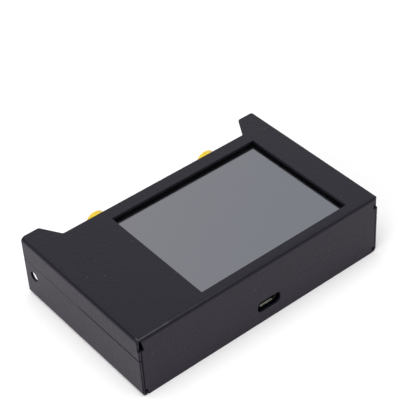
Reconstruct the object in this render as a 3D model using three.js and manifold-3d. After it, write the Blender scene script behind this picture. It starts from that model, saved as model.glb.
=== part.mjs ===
// Antenna analyzer in a folded sheet-metal case. Millimetres, +Z up.
// The origin is the middle of the case's footprint, ears left out, on the face it stands on.
// +X runs along the long side and +Y points from the charging wall to the antenna ports.

import * as THREE from 'three';
import { mergeVertices } from 'three/addons/utils/BufferGeometryUtils.js';
import Module from 'manifold-3d';

// Case

const caseLength = 104;
const caseDepth = 57.5;
const caseHeight = 25.5;
const sheet = 1;
const bendInside = 0.8;
const seamShare = 0.64;
const seamGap = 0.16;

// Ears that guard the ports, and the lanyard hole in the left one

const earReach = 8;
const earTipWidth = 7.4;
const earRootWidth = 12.1;
const earRootFillet = 1;
const earTipRound = 1;
const lanyardRadius = 1.95;
const lanyardReach = 2.9;
const lanyardHeight = 10.8;

// Front corners, where the front wall stands between the side walls

const sideSetback = 0.1;
const sideEdgeRound = 0.35;
const reliefDrop = 0.9;
const reliefLength = 4.3;
const reliefDepth = 0.8;
const reliefTopInset = 1.3;
const reliefWidening = 0.9;
const lowerNotchHeight = 2.5;
const lowerNotchRound = 0.6;

// Tabs of the bottom shell that stand behind the top shell's side flanges

const tabLength = 9;
const tabThickness = 1;
const tabFoot = 3;
const tabRise = 4;
const tabInset = 12;

// Screen window and the display under it

const windowFromLeft = 28.9;
const windowFromRight = 11.6;
const windowFromFront = 3.9;
const windowFromRear = 5.1;
const glassRecess = 0.4;
const glassThickness = 1.1;
const glassSideBorder = 3.4;
const glassEdgeBorder = 1.9;
const glassRound = 1;
const panelMargin = 0.9;
const panelThickness = 1.3;
const backlightMargin = 0.4;
const backlightThickness = 1.5;
const trayWall = 0.5;
const trayFloor = 0.4;

// Boards and the columns that carry them

const boardThickness = 1.6;
const boardMargin = 1.6;
const boardRound = 2;
const mainBoardShare = 0.353;
const columnInset = 5.2;
const columnFromFront = 6.2;
const columnFromRear = 6.6;
const columnRadius = 2.1;
const postRadius = 2.2;
const studRadius = 1.1;
const studLength = 3.4;
const threadBore = 1.4;
const boardHole = 1.5;

// Case screws

const screwHeadRadius = 2.3;
const screwHeadHeight = 0.9;
const screwShankRadius = 1.1;
const screwLength = 4.4;
const screwRecess = 0.6;
const driveWidth = 0.5;
const driveLength = 2.4;

// Antenna ports

const portShare = 0.298;
const portSpacingShare = 0.4827;
const portHeadroom = 0.5;
const portBodyDepth = 4.6;
const barrelRadius = 3.1;
const barrelReach = 8.2;
const barrelChamfer = 0.4;
const threadPitch = 0.9;
const threadHeight = 0.3;
const socketRadius = 2.3;
const socketDepth = 2;
const insulatorRadius = 2.05;
const insulatorLength = 3;
const contactRadius = 0.62;
const contactBore = 0.4;
const contactReach = 0.9;
const contactSlotDepth = 1.2;
const contactSlotWidth = 0.14;
const washerRadius = 4.3;
const washerThickness = 0.5;
const nutRadius = 4.5;
const nutThickness = 1.9;

// Yellow dust caps

const capRadius = 4.2;
const capMouthRadius = 4.4;
const capEndWall = 1.1;
const capRound = 0.5;
const capBead = 1;

// Charging socket

const usbShare = 0.5173;
const usbLength = 8.9;
const usbThickness = 3.2;
const usbWall = 0.3;
const usbDepth = 7.3;
const usbRound = 1.55;
const usbSetback = 0.6;
const usbBackWall = 1.4;
const tongueLength = 6.6;
const tongueThickness = 0.7;
const tongueSetback = 0.9;
const usbCutLength = 9.8;
const usbCutHeight = 4.2;
const usbCutRound = 1.5;

// Height of the switches' axes over the main board

const controlRise = 2.05;

// Slide switch for power, placed by a share of the way from port to port

const powerShare = 0.249;
const powerBodyLength = 8.6;
const powerBodyDepth = 3.6;
const powerFaceWall = 0.5;
const powerSideWall = 0.4;
const powerTravel = 2;
const knobLength = 1.7;
const knobShare = 0.5;
const knobRoundShare = 0.2;
const knobReach = 1.5;
const carriageLength = 3;
const carriageDepth = 1.2;

// Push buttons, placed in the same way

const buttonShare = 0.43;
const buttonPitchShare = 0.1315;
const buttonReach = 1;
const buttonFlangeLip = 0.45;
const buttonFlangeThickness = 0.5;
const buttonTravel = 0.4;
const buttonStemShare = 0.5;
const buttonStemLength = 1.3;
const buttonDome = 0.3;
const keyGap = 1;
const keyBodyDepth = 3.4;

// Status lights, placed in the same way

const lightShare = 0.8008;
const lightPitchShare = 0.0538;
const lightRadius = 0.7;
const lightBodySize = 2;

// Battery, its plug and leads

const batteryThickness = 5;
const batteryFromLeft = 20;
const batteryFromRight = 24;
const batteryFromFront = 13;
const batteryFromRear = 8.5;
const batteryRound = 2;
const batteryEdge = 1;
const plugLength = 4.6;
const plugWidth = 5.4;
const plugHeight = 3.6;
const plugFromLeft = 11;
const leadRadius = 0.55;
const leadPitch = 2;
const leadStraight = 1;

// Chips, shields and the header between the boards

const shieldLength = 17;
const shieldWidth = 15;
const shieldHeight = 3;
const shieldWall = 0.3;
const shieldFromRear = 9;
const chipSize = 9;
const chipHeight = 1;
const chipRound = 0.4;
const chipFromFront = 18;
const headerLength = 22;
const headerWidth = 5;
const headerShare = 0.135;
const headerWall = 0.8;
const headerHeightShare = 0.6;

// Flat cable of the display and its clamp

const flexWidth = 30;
const flexThickness = 0.3;
const flexRun = 3;
const clampLength = 4;
const clampHeight = 1.4;
const clampOverhang = 1.5;

// Clearances, and how far every cut runs past what it cuts

const seatGap = 0.1;
const fitGap = 0.3;
const overrun = 2;

// Facets of small rounds, of turned pieces and of bends

const roundSteps = 3;
const turnSteps = 20;
const smallTurnSteps = 12;
const leadSteps = 8;
const hexSides = 6;
const bendSteps = 5;

// Places that follow from the sizes above

const halfLength = caseLength / 2;
const leftFace = -halfLength;
const frontFace = -caseDepth / 2;
const rearFace = caseDepth / 2;
const earEnd = rearFace + earReach;
const seamHeight = caseHeight * seamShare;
const bendOutside = bendInside + sheet;
const panelInnerFace = rearFace - sheet;
const wallInnerFace = frontFace + sheet;
const plateUnderside = caseHeight - sheet;
const windowLength = caseLength - windowFromLeft - windowFromRight;
const windowWidth = caseDepth - windowFromFront - windowFromRear;
const windowX = leftFace + windowFromLeft + windowLength / 2;
const windowY = frontFace + windowFromFront + windowWidth / 2;
const glassLength = windowLength + 2 * glassSideBorder;
const glassWidth = windowWidth + 2 * glassEdgeBorder;
const glassTop = plateUnderside - glassRecess;
const panelTop = glassTop - glassThickness - seatGap;
const backlightTop = panelTop - panelThickness - seatGap;
const trayLevel = backlightTop - backlightThickness - seatGap - trayFloor;
const displayBoardTop = trayLevel - seatGap;
const displayBoardLevel = displayBoardTop - boardThickness;
const mainBoardLevel = caseHeight * mainBoardShare;
const mainBoardTop = mainBoardLevel + boardThickness;
const boardRoom = displayBoardLevel - mainBoardTop;
const headerHeight = boardRoom * headerHeightShare;
const portBodySize = boardRoom - seatGap - portHeadroom;
const portHeight = mainBoardTop + seatGap + portBodySize / 2;
const portX = leftFace + caseLength * portShare;
const portSpacing = caseLength * portSpacingShare;
const usbHeight = mainBoardLevel - seatGap - usbThickness / 2;
const usbX = leftFace + caseLength * usbShare;
const usbMouth = wallInnerFace + usbSetback;
const controlHeight = mainBoardTop + controlRise;
const controlBodyHeight = 2 * (controlRise - seatGap);
const powerX = portX + portSpacing * powerShare;
const carriageHeight = controlBodyHeight - 2 * (powerSideWall + fitGap);
const knobHeight = carriageHeight * knobShare;
const buttonPitch = portSpacing * buttonPitchShare;
const keyBodyLength = buttonPitch - keyGap;
const buttonFlangeRadius = controlRise - seatGap;
const buttonRadius = buttonFlangeRadius - buttonFlangeLip;
const buttonStemRadius = buttonRadius * buttonStemShare;
const buttonFlangeBack = panelInnerFace - seatGap - buttonFlangeThickness;
const lightPitch = portSpacing * lightPitchShare;
const nutFace = rearFace + washerThickness + nutThickness + 2 * seatGap;
const capMouth = nutFace + fitGap;
const capEnd = rearFace + barrelReach + fitGap + capEndWall;
const columnPlaces = [-1, 1].flatMap((side) => [
  [side * (halfLength - columnInset), frontFace + columnFromFront],
  [side * (halfLength - columnInset), rearFace - columnFromRear],
]);
const portPlaces = [0, 1].map((index) => portX + index * portSpacing);
const buttonPlaces = [0, 1, 2].map((index) => portX + portSpacing * buttonShare + index * buttonPitch);
const lightPlaces = [0, 1].map((index) => portX + portSpacing * lightShare + index * lightPitch);
const batteryLength = caseLength - batteryFromLeft - batteryFromRight;
const batteryWidth = caseDepth - batteryFromFront - batteryFromRear;
const batteryX = leftFace + batteryFromLeft + batteryLength / 2;
const batteryY = frontFace + batteryFromFront + batteryWidth / 2;
const batteryLevel = sheet + seatGap;
const headerX = leftFace + caseLength * headerShare + headerWidth / 2;
const cableStart = windowX - glassLength / 2 + panelMargin - fitGap;
const cableLevel = panelTop - panelThickness / 2;
const cableLanding = displayBoardTop + seatGap + clampHeight / 2;

const wasm = await Module();
wasm.setup();

// Solids

function solidFrom(geometry) {
  const bare = geometry.clone();
  bare.deleteAttribute('normal');
  bare.deleteAttribute('uv');
  const merged = mergeVertices(bare);
  const vertProperties = new Float32Array(merged.attributes.position.array);
  const triVerts = new Uint32Array(merged.index.array);
  return new wasm.Manifold(new wasm.Mesh({ numProp: 3, vertProperties, triVerts }));
}

function geometryFrom(solid) {
  const mesh = solid.getMesh();
  const geometry = new THREE.BufferGeometry();
  geometry.setAttribute('position', new THREE.BufferAttribute(mesh.vertProperties, 3));
  geometry.setIndex(new THREE.BufferAttribute(mesh.triVerts, 1));
  geometry.computeVertexNormals();
  return geometry;
}

function join(...geometries) {
  return geometryFrom(geometries.map(solidFrom).reduce((whole, piece) => whole.add(piece)));
}

function cut(geometry, ...cutters) {
  const whole = solidFrom(geometry);
  return geometryFrom(cutters.map(solidFrom).reduce((rest, cutter) => rest.subtract(cutter), whole));
}

function overlapOf(first, second) {
  return geometryFrom(solidFrom(first).intersect(solidFrom(second)));
}

// Outlines and prisms

// Each corner is [x, y, radius]; a radius of 0 leaves the corner sharp.
function roundedOutline(corners, Outline = THREE.Shape) {
  const outline = new Outline();
  corners.forEach(([x, y, radius], index) => {
    const corner = new THREE.Vector2(x, y);
    const before = new THREE.Vector2(...corners[(index + corners.length - 1) % corners.length]);
    const after = new THREE.Vector2(...corners[(index + 1) % corners.length]);
    const toBefore = before.sub(corner).normalize();
    const toAfter = after.sub(corner).normalize();
    const halfAngle = Math.acos(toBefore.dot(toAfter)) / 2;
    const setback = radius / Math.tan(halfAngle);
    const start = corner.clone().addScaledVector(toBefore, setback);
    if (index === 0) outline.moveTo(start.x, start.y);
    else outline.lineTo(start.x, start.y);
    if (radius === 0) return;
    const middle = toBefore.clone().add(toAfter).normalize();
    const centre = corner.clone().addScaledVector(middle, radius / Math.sin(halfAngle));
    const end = corner.clone().addScaledVector(toAfter, setback);
    const startAngle = start.sub(centre).angle();
    const endAngle = end.sub(centre).angle();
    const clockwise = toBefore.cross(toAfter) > 0;
    outline.absarc(centre.x, centre.y, radius, startAngle, endAngle, clockwise);
  });
  outline.closePath();
  return outline;
}

function rectangle(width, height, radius = 0, x = 0, y = 0, Outline = THREE.Shape) {
  const corners = [[-1, -1], [1, -1], [1, 1], [-1, 1]];
  const placed = corners.map(([right, up]) => [x + right * width / 2, y + up * height / 2, radius]);
  return roundedOutline(placed, Outline);
}

function circle(radius, x = 0, y = 0, Outline = THREE.Path) {
  const outline = new Outline();
  outline.absarc(x, y, radius, 0, 2 * Math.PI, false);
  return outline;
}

function prism(shape, depth, steps) {
  return new THREE.ExtrudeGeometry(shape, { depth, bevelEnabled: false, curveSegments: steps });
}

// Outline x is +X and outline y is +Y, from one level up to another
function prismUp(shape, bottom, top, steps = roundSteps) {
  return prism(shape, top - bottom, steps).translate(0, 0, bottom);
}

// Outline x is +X and outline y is +Z, from one depth back to another
function prismBack(shape, front, back, steps = roundSteps) {
  return prism(shape, back - front, steps).rotateX(Math.PI / 2).translate(0, back, 0);
}

// Outline x is +Y and outline y is +Z, from the left to the right
function prismAcross(shape, left, right, steps = roundSteps) {
  return prism(shape, right - left, steps).rotateX(Math.PI / 2).rotateZ(Math.PI / 2).translate(left, 0, 0);
}

function block(length, depth, height, x = 0, y = 0, z = 0) {
  return new THREE.BoxGeometry(length, depth, height).translate(x, y, z);
}

// Profile points are [radius, place along the axis], starting and ending on the axis, which is +Y
function turnedBack(profile, steps = turnSteps) {
  const points = profile.map((point) => new THREE.Vector2(...point));
  const ordered = THREE.ShapeUtils.isClockWise(points) ? points.reverse() : points;
  return new THREE.LatheGeometry(ordered, steps);
}

// The same, turned about +Z
function turned(profile, steps = turnSteps) {
  return turnedBack(profile, steps).rotateX(Math.PI / 2);
}

function roundBar(radius, bottom, top, steps) {
  const height = top - bottom;
  const bar = new THREE.CylinderGeometry(radius, radius, height, steps);
  return bar.rotateX(Math.PI / 2).translate(0, 0, bottom + height / 2);
}

// Finishes

function finish(color, roughness, metalness) {
  return new THREE.MeshStandardMaterial({ color, roughness, metalness, flatShading: true });
}

function powderCoat() {
  return finish(0x38373c, 0.6, 0.15);
}

function screenGlass() {
  return finish(0x83838b, 0.12, 0);
}

function darkGlass() {
  return finish(0x2b2c30, 0.2, 0);
}

function brightSteel() {
  return finish(0xc8c8cc, 0.3, 1);
}

function goldPlate() {
  return finish(0xd9b34a, 0.25, 1);
}

function whitePlastic() {
  return finish(0xeceae4, 0.5, 0);
}

function blackPlastic() {
  return finish(0x1c1c1f, 0.5, 0);
}

function yellowPlastic() {
  return finish(0xf0cf38, 0.45, 0);
}

function boardLaminate() {
  return finish(0x16241c, 0.45, 0);
}

function amberFilm() {
  return finish(0xb4762a, 0.4, 0);
}

function silverPouch() {
  return finish(0xb9bcc0, 0.4, 0.6);
}

function redSleeve() {
  return finish(0xb3201c, 0.5, 0);
}

function clearPlastic() {
  return finish(0xe6f0e6, 0.15, 0);
}

// Folded shells

// A channel with its plate's outer face at level 0 and its two bent legs hanging from it
function channelShape(legDrop) {
  const right = halfLength - bendOutside;
  const shape = new THREE.Shape();
  shape.moveTo(-halfLength, -legDrop);
  shape.lineTo(-halfLength, -bendOutside);
  shape.absarc(-right, -bendOutside, bendOutside, Math.PI, Math.PI / 2, true);
  shape.absarc(right, -bendOutside, bendOutside, Math.PI / 2, 0, true);
  shape.lineTo(halfLength, -legDrop);
  shape.lineTo(halfLength - sheet, -legDrop);
  shape.absarc(right, -bendOutside, bendInside, 0, Math.PI / 2, false);
  shape.absarc(-right, -bendOutside, bendInside, Math.PI / 2, Math.PI, false);
  shape.lineTo(-halfLength + sheet, -legDrop);
  shape.closePath();
  return shape;
}

// The space inside the case's outer surface, with its upper edges rounded by the bends
function outerBody() {
  const corners = [
    [-halfLength, 0, 0],
    [halfLength, 0, 0],
    [halfLength, caseHeight, bendOutside],
    [-halfLength, caseHeight, bendOutside],
  ];
  return prismBack(roundedOutline(corners), frontFace, rearFace, bendSteps);
}

// The outline of both channels from above: the side walls' rounded front edges, then the ears'
// slanted sides and fillets
function footprint() {
  const corners = [
    [-halfLength, frontFace + sideSetback, sideEdgeRound],
    [halfLength, frontFace + sideSetback, sideEdgeRound],
    [halfLength, earEnd, 0],
    [halfLength - earTipWidth, earEnd, earTipRound],
    [halfLength - earRootWidth, rearFace, earRootFillet],
    [-halfLength + earRootWidth, rearFace, earRootFillet],
    [-halfLength + earTipWidth, earEnd, earTipRound],
    [-halfLength, earEnd, 0],
  ];
  return prismUp(roundedOutline(corners), -overrun, caseHeight + overrun, bendSteps);
}

// The space behind the front wall's outer face and under the bend above it
function frontBody() {
  const corners = [
    [frontFace, -overrun, 0],
    [earEnd + overrun, -overrun, 0],
    [earEnd + overrun, caseHeight, 0],
    [frontFace, caseHeight, bendOutside],
  ];
  return prismAcross(roundedOutline(corners), -halfLength, halfLength, bendSteps);
}

// The full-height front wall and the bend that carries it from the top plate
function frontWall() {
  const bendY = frontFace + bendOutside;
  const bendZ = caseHeight - bendOutside;
  const shape = new THREE.Shape();
  shape.moveTo(frontFace, 0);
  shape.lineTo(frontFace, bendZ);
  shape.absarc(bendY, bendZ, bendOutside, Math.PI, Math.PI / 2, true);
  shape.lineTo(bendY + sheet, caseHeight);
  shape.lineTo(bendY + sheet, plateUnderside);
  shape.absarc(bendY, bendZ, bendInside, Math.PI / 2, Math.PI, false);
  shape.lineTo(wallInnerFace, 0);
  shape.closePath();
  return overlapOf(prismAcross(shape, -halfLength, halfLength, bendSteps), outerBody());
}

// Corners of the relief under a top corner, where two bends meet; it widens towards the bottom
function reliefCorners(side) {
  const top = caseHeight - reliefDrop;
  const bottom = top - reliefLength;
  return [
    [side * (halfLength + overrun), top, 0],
    [side * (halfLength - reliefTopInset), top, 0],
    [side * (halfLength - reliefTopInset - reliefWidening), bottom, 0],
    [side * (halfLength + overrun), bottom, 0],
  ];
}

function cornerRelief(side) {
  const shape = roundedOutline(reliefCorners(side));
  return prismBack(shape, frontFace - overrun, frontFace + reliefDepth);
}

// What is cut from an end of the front wall: the relief, the room for a side wall's thickness,
// and at the bottom a notch with a rounded corner for the bottom shell's bend
function wallEndCut(side) {
  const outer = side * (halfLength + overrun);
  const wallEnd = side * (halfLength - sheet - seatGap);
  const notchEnd = side * (halfLength - bendOutside - fitGap);
  const [topOuter, topInner, bottomInner] = reliefCorners(side);
  const [, reliefBottom] = bottomInner;
  const shape = roundedOutline([
    topOuter,
    topInner,
    bottomInner,
    [wallEnd, reliefBottom, 0],
    [wallEnd, lowerNotchHeight, 0],
    [notchEnd, lowerNotchHeight, lowerNotchRound],
    [notchEnd, -overrun, 0],
    [outer, -overrun, 0],
  ]);
  return prismBack(shape, frontFace - overrun, frontFace + bendOutside + overrun);
}

function topShell() {
  const flangeDrop = caseHeight - seamHeight;
  const channel = prismBack(channelShape(flangeDrop), frontFace, earEnd, bendSteps);
  const underBend = overlapOf(channel.translate(0, 0, caseHeight), frontBody());
  const plateAndFlanges = overlapOf(underBend, footprint());
  const folded = join(plateAndFlanges, cut(frontWall(), wallEndCut(-1), wallEndCut(1)));
  const window = block(windowLength, windowWidth, sheet + 2 * overrun, windowX, windowY, caseHeight);
  const usbShape = rectangle(usbCutLength, usbCutHeight, usbCutRound, usbX, usbHeight);
  const usbCut = prismBack(usbShape, frontFace - overrun, wallInnerFace + overrun, bendSteps);
  return cut(folded, window, usbCut, cornerRelief(-1), cornerRelief(1));
}

// A welded tab: its foot lies on the wall, its upper half stands clear of the top shell's flange
function locatingTab(side, y) {
  const wall = halfLength - sheet;
  const seam = seamHeight - seamGap;
  const outer = wall - seatGap - tabThickness;
  const corners = [
    [side * outer, seam - tabFoot, 0],
    [side * (wall + seatGap), seam - tabFoot, 0],
    [side * (wall + seatGap), seam - sheet, 0],
    [side * (wall - seatGap), seam - sheet, 0],
    [side * (wall - seatGap), seam + tabRise, 0],
    [side * outer, seam + tabRise, 0],
  ];
  return prismBack(roundedOutline(corners), y - tabLength / 2, y + tabLength / 2);
}

function countersink(x, y) {
  const wide = screwHeadRadius + fitGap;
  const narrow = screwShankRadius + fitGap;
  const profile = [
    [0, -overrun],
    [wide, -overrun],
    [wide, seatGap],
    [narrow, screwHeadHeight],
    [narrow, sheet + overrun],
    [0, sheet + overrun],
  ];
  return turned(profile, smallTurnSteps).translate(x, y, 0);
}

// The room between the side walls where the front wall comes down in front of the bottom plate
function frontWallRoom() {
  const length = caseLength - 2 * bendOutside;
  const depth = sheet + fitGap + overrun;
  return block(length, depth, 2 * (sheet + overrun), 0, wallInnerFace + fitGap - depth / 2, 0);
}

function bottomShell() {
  const legRise = seamHeight - seamGap;
  const channel = prismBack(channelShape(legRise), -earEnd, -frontFace, bendSteps);
  const upright = channel.rotateX(Math.PI);
  const trimmed = cut(overlapOf(upright, footprint()), frontWallRoom());
  const places = [frontFace + tabInset, rearFace - tabInset];
  const tabs = [-1, 1].flatMap((side) => places.map((y) => locatingTab(side, y)));
  const welded = join(trimmed, ...tabs);
  const holes = columnPlaces.map(([x, y]) => countersink(x, y));
  const lanyard = new THREE.CylinderGeometry(lanyardRadius, lanyardRadius, sheet + 2 * overrun, turnSteps)
    .rotateZ(Math.PI / 2)
    .translate(leftFace, rearFace + lanyardReach, lanyardHeight);
  return cut(welded, ...holes, lanyard);
}

// The flat panel between the ears, with a hole for each thing that comes through it
function portPanel() {
  const length = caseLength - 2 * (sheet + fitGap);
  const height = caseHeight - 2 * (sheet + fitGap);
  const shape = rectangle(length, height, bendInside + fitGap, 0, caseHeight / 2);
  const hole = (radius, x, z) => shape.holes.push(circle(radius, x, z));
  portPlaces.forEach((x) => hole(barrelRadius + fitGap, x, portHeight));
  buttonPlaces.forEach((x) => hole(buttonRadius + fitGap, x, controlHeight));
  lightPlaces.forEach((x) => hole(lightRadius + fitGap, x, controlHeight));
  const slotLength = knobLength + powerTravel + 2 * fitGap;
  const slotHeight = knobHeight + 2 * fitGap;
  shape.holes.push(rectangle(slotLength, slotHeight, fitGap, powerX, controlHeight, THREE.Path));
  return prismBack(shape, panelInnerFace, rearFace, smallTurnSteps / 2);
}

// Display

function touchGlass() {
  const shape = rectangle(glassLength, glassWidth, glassRound, windowX, windowY);
  return prismUp(shape, glassTop - glassThickness, glassTop);
}

function displayPanel() {
  const length = glassLength - 2 * panelMargin;
  const width = glassWidth - 2 * panelMargin;
  const shape = rectangle(length, width, 0, windowX, windowY);
  return prismUp(shape, panelTop - panelThickness, panelTop);
}

function backlightPlate() {
  const margin = panelMargin + backlightMargin;
  const length = glassLength - 2 * margin;
  const width = glassWidth - 2 * margin;
  const shape = rectangle(length, width, 0, windowX, windowY);
  return prismUp(shape, backlightTop - backlightThickness, backlightTop);
}

// The pressed steel tray round the panel and its backlight, open at the left for the flat cable
function displayTray() {
  const innerLength = glassLength - 2 * panelMargin + 2 * seatGap;
  const innerWidth = glassWidth - 2 * panelMargin + 2 * seatGap;
  const outerLength = innerLength + 2 * trayWall;
  const outerWidth = innerWidth + 2 * trayWall;
  const outer = rectangle(outerLength, outerWidth, trayWall, windowX, windowY);
  const hollow = rectangle(innerLength, innerWidth, 0, windowX, windowY);
  const trayTop = panelTop - seatGap;
  const gateX = windowX - innerLength / 2 - trayWall;
  const gateLevel = panelTop - panelThickness;
  const gateHeight = panelThickness + overrun;
  const gateMiddle = gateLevel + gateHeight / 2;
  return cut(
    prismUp(outer, trayLevel, trayTop),
    prismUp(hollow, trayLevel + trayFloor, trayTop + overrun),
    block(2 * overrun, flexWidth + 2 * fitGap, gateHeight, gateX, windowY, gateMiddle),
  );
}

// The flat cable leaves the panel's left edge, drops in an S to the board and ends in its clamp
function flatCable() {
  const radius = (cableLevel - cableLanding) / 2;
  const turnX = cableStart - flexRun;
  const lowerTurnX = turnX - 2 * radius;
  const endX = lowerTurnX - flexRun;
  const half = flexThickness / 2;
  const middle = cableLevel - radius;
  const shape = new THREE.Shape();
  shape.moveTo(cableStart, cableLevel - half);
  shape.lineTo(cableStart, cableLevel + half);
  shape.absarc(turnX, middle, radius + half, Math.PI / 2, Math.PI, false);
  shape.absarc(lowerTurnX, middle, radius - half, 0, -Math.PI / 2, true);
  shape.lineTo(endX, cableLanding + half);
  shape.lineTo(endX, cableLanding - half);
  shape.absarc(lowerTurnX, middle, radius + half, -Math.PI / 2, 0, false);
  shape.absarc(turnX, middle, radius - half, Math.PI, Math.PI / 2, true);
  shape.closePath();
  return prismBack(shape, windowY - flexWidth / 2, windowY + flexWidth / 2, bendSteps);
}

// The clamp is soldered on the board and takes the cable's end in its mouth
function cableClamp() {
  const cableEnd = cableStart - 2 * flexRun - (cableLevel - cableLanding);
  const middleX = cableEnd + clampOverhang - clampLength / 2;
  const mouthX = cableEnd - fitGap + clampLength / 2;
  const width = flexWidth + 2 * clampOverhang;
  const mouthWidth = flexWidth + 2 * fitGap;
  const mouthHeight = flexThickness + 2 * seatGap;
  return cut(
    block(clampLength, width, clampHeight, middleX, windowY, cableLanding),
    block(clampLength, mouthWidth, mouthHeight, mouthX, windowY, cableLanding),
  );
}

// Boards and the columns that carry them

function boardShape(margin) {
  const front = wallInnerFace + margin;
  const back = panelInnerFace - fitGap;
  const length = caseLength - 2 * (sheet + margin);
  const shape = rectangle(length, back - front, boardRound, 0, (front + back) / 2);
  columnPlaces.forEach(([x, y]) => shape.holes.push(circle(boardHole, x, y)));
  return shape;
}

function mainBoard() {
  return prismUp(boardShape(boardMargin), mainBoardLevel, mainBoardTop, smallTurnSteps / 2);
}

function displayBoard() {
  return prismUp(boardShape(boardMargin), displayBoardLevel, displayBoardTop, smallTurnSteps / 2);
}

// A round post pressed into the top plate and threaded from below
function topPost() {
  const bottom = displayBoardTop + seatGap;
  const top = plateUnderside - seatGap;
  const boreEnd = bottom + studLength - boardThickness + fitGap;
  const profile = [
    [0, boreEnd],
    [threadBore, boreEnd],
    [threadBore, bottom],
    [postRadius, bottom],
    [postRadius, top],
    [0, top],
  ];
  return turned(profile, smallTurnSteps);
}

// A six-sided spacer with a stud on top and a threaded hole from below
function spacer(bottom, top, boreDepth) {
  const hexagon = roundBar(columnRadius, bottom, top, hexSides);
  const stud = roundBar(studRadius, top - studRadius, top + studLength, smallTurnSteps);
  const bore = roundBar(threadBore, bottom - overrun, bottom + boreDepth, smallTurnSteps);
  return cut(join(hexagon, stud), bore);
}

// Its hole takes the stud that comes up through the main board
function upperSpacer() {
  const boreDepth = studLength - boardThickness + fitGap;
  return spacer(mainBoardTop + seatGap, displayBoardLevel - seatGap, boreDepth);
}

// Its hole takes the case screw that comes up through the bottom plate
function lowerSpacer() {
  const boreDepth = screwLength - sheet + fitGap;
  return spacer(sheet + seatGap, mainBoardLevel - seatGap, boreDepth);
}

// A flat-headed screw, sunk in the bottom plate, with a cross for the driver
function caseScrew() {
  const profile = [
    [0, seatGap],
    [screwHeadRadius, seatGap],
    [screwHeadRadius, 2 * seatGap],
    [screwShankRadius, screwHeadHeight],
    [screwShankRadius, screwLength],
    [0, screwLength],
  ];
  const slots = [
    block(driveLength, driveWidth, 2 * screwRecess, 0, 0, seatGap),
    block(driveWidth, driveLength, 2 * screwRecess, 0, 0, seatGap),
  ];
  return cut(turned(profile, smallTurnSteps), join(...slots));
}

// Antenna ports

// A square body that stands on the main board, with a threaded barrel open at its end
function antennaPort() {
  const bodyFront = panelInnerFace - seatGap;
  const end = rearFace + barrelReach;
  const insulatorEnd = end - socketDepth - insulatorLength;
  const threadStart = rearFace + washerThickness;
  const threadEnd = end - barrelChamfer;
  const turns = Math.floor((threadEnd - threadStart) / threadPitch);
  const ridges = [];
  for (let turn = 0; turn < turns; turn += 1) {
    const y = threadStart + turn * threadPitch;
    ridges.push([barrelRadius, y], [barrelRadius - threadHeight, y + threadPitch / 2]);
  }
  const profile = [
    [0, bodyFront - seatGap],
    [barrelRadius, bodyFront - seatGap],
    ...ridges,
    [barrelRadius, threadStart + turns * threadPitch],
    [barrelRadius, threadEnd],
    [barrelRadius - barrelChamfer, end],
    [socketRadius, end],
    [socketRadius, insulatorEnd],
    [0, insulatorEnd],
  ];
  const bodyMiddle = bodyFront - portBodyDepth / 2;
  const body = block(portBodySize, portBodyDepth, portBodySize, 0, bodyMiddle, 0);
  return join(body, turnedBack(profile));
}

// The white plug inside the barrel, with a hole for the centre contact
function portInsulator() {
  const face = rearFace + barrelReach - socketDepth;
  const back = face - insulatorLength + seatGap;
  const hole = contactRadius + seatGap;
  const holeEnd = back + contactBore;
  const profile = [
    [0, back],
    [insulatorRadius, back],
    [insulatorRadius, face],
    [hole, face],
    [hole, holeEnd],
    [0, holeEnd],
  ];
  return turnedBack(profile);
}

// The centre contact, a bored and slit pin that stands out of the insulator
function portContact() {
  const face = rearFace + barrelReach - socketDepth;
  const back = face - insulatorLength + 2 * seatGap + contactBore;
  const tip = face + contactReach;
  const boreEnd = tip - 2 * contactSlotDepth;
  const profile = [
    [0, back],
    [contactRadius, back],
    [contactRadius, tip],
    [contactBore, tip],
    [contactBore, boreEnd],
    [0, boreEnd],
  ];
  const slit = block(contactSlotWidth, 2 * contactSlotDepth, 2 * contactRadius + overrun, 0, tip, 0);
  return cut(turnedBack(profile, smallTurnSteps), slit);
}

function ringShape(outline) {
  outline.holes.push(circle(barrelRadius + fitGap));
  return outline;
}

function portWasher() {
  const front = rearFace + seatGap;
  const shape = ringShape(circle(washerRadius, 0, 0, THREE.Shape));
  return prismBack(shape, front, front + washerThickness, turnSteps / 2);
}

function portNut() {
  const front = nutFace - nutThickness;
  const corners = [0, 1, 2, 3, 4, 5].map((corner) => {
    const angle = (corner * Math.PI) / 3;
    return [nutRadius * Math.cos(angle), nutRadius * Math.sin(angle), 0];
  });
  return prismBack(ringShape(roundedOutline(corners)), front, nutFace, turnSteps / 2);
}

// A soft cap pushed over the barrel, with a bead round its mouth and a rounded end
function dustCap() {
  const inside = barrelRadius + fitGap;
  const floor = capEnd - capEndWall;
  const shoulder = capEnd - capRound;
  const round = [1, 2, 3].map((step) => {
    const angle = (step * Math.PI) / 6;
    const reach = capRadius - capRound + capRound * Math.cos(angle);
    return [reach, shoulder + capRound * Math.sin(angle)];
  });
  const profile = [
    [0, floor],
    [inside, floor],
    [inside, capMouth],
    [capMouthRadius, capMouth],
    [capMouthRadius, capMouth + capBead],
    [capRadius, capMouth + capBead + seatGap],
    [capRadius, shoulder],
    ...round,
    [0, capEnd],
  ];
  return turnedBack(profile);
}

// Charging socket

function usbShell() {
  const shape = rectangle(usbLength, usbThickness, usbRound, usbX, usbHeight);
  const innerLength = usbLength - 2 * usbWall;
  const innerHeight = usbThickness - 2 * usbWall;
  shape.holes.push(rectangle(innerLength, innerHeight, usbRound - usbWall, usbX, usbHeight, THREE.Path));
  return prismBack(shape, usbMouth, usbMouth + usbDepth, bendSteps);
}

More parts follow.
